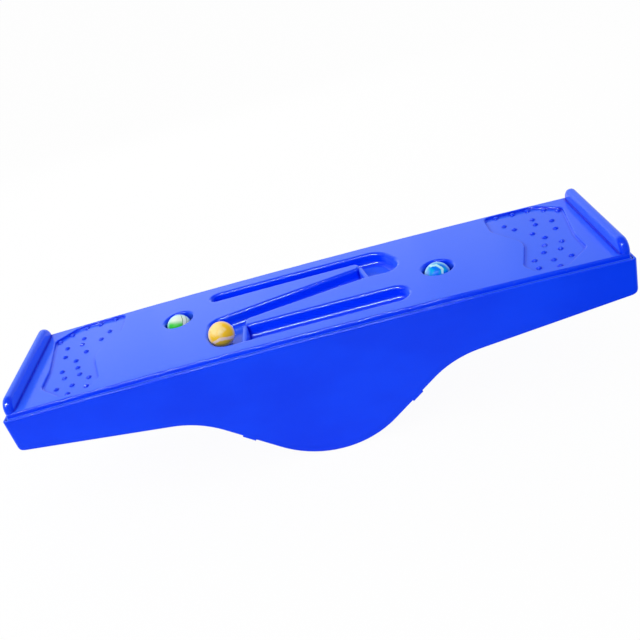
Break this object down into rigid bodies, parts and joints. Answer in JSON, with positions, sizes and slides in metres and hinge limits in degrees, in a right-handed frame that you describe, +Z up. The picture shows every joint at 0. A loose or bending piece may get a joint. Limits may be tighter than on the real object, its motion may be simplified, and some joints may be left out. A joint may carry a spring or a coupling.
{
  "type": "rocking balance board",
  "caption": "Rocking balance board with a rounded belly, an arched deck with studded foot pads and end ridges, a three-lane ball maze and loose marbled balls.",
  "frame": {"origin": "under the middle of the board, on the lowest line of the rocker, which is the line it stands on", "axes": "+X along the board towards the end with the single-ball cup near the middle line, +Y across it towards the far lane of the maze, +Z up; the deck is level"},
  "size_m": [0.753, 0.2, 0.1842],
  "materials": {
    "shell_blue": "semi-gloss moulded",
    "deck_blue": "semi-gloss moulded",
    "screw_zinc": "bright zinc",
    "marbled_yellow": "gloss, marbled",
    "marbled_green": "gloss, marbled",
    "marbled_blue": "gloss, marbled"
  },
  "bodies": {
    "board": {"rocker_shell": "shell_blue", "deck_panel": "deck_blue", "shell_screws": "screw_zinc"},
    "yellow_ball": {"ball_yellow": "marbled_yellow"},
    "green_ball": {"ball_green": "marbled_green"},
    "blue_ball": {"ball_blue": "marbled_blue"}
  },
  "joints": [
    {"name": "yellow_ball_roll", "type": "slide", "parent": "board", "child": "yellow_ball", "axis": [0, 1, 0], "range_m": [0, 0.025]},
    {"name": "green_ball_lift", "type": "slide", "parent": "board", "child": "green_ball", "axis": [0, 0, 1], "range_m": [0, 0.06]},
    {"name": "blue_ball_lift", "type": "slide", "parent": "board", "child": "blue_ball", "axis": [0, 0, 1], "range_m": [0, 0.06]}
  ]
}
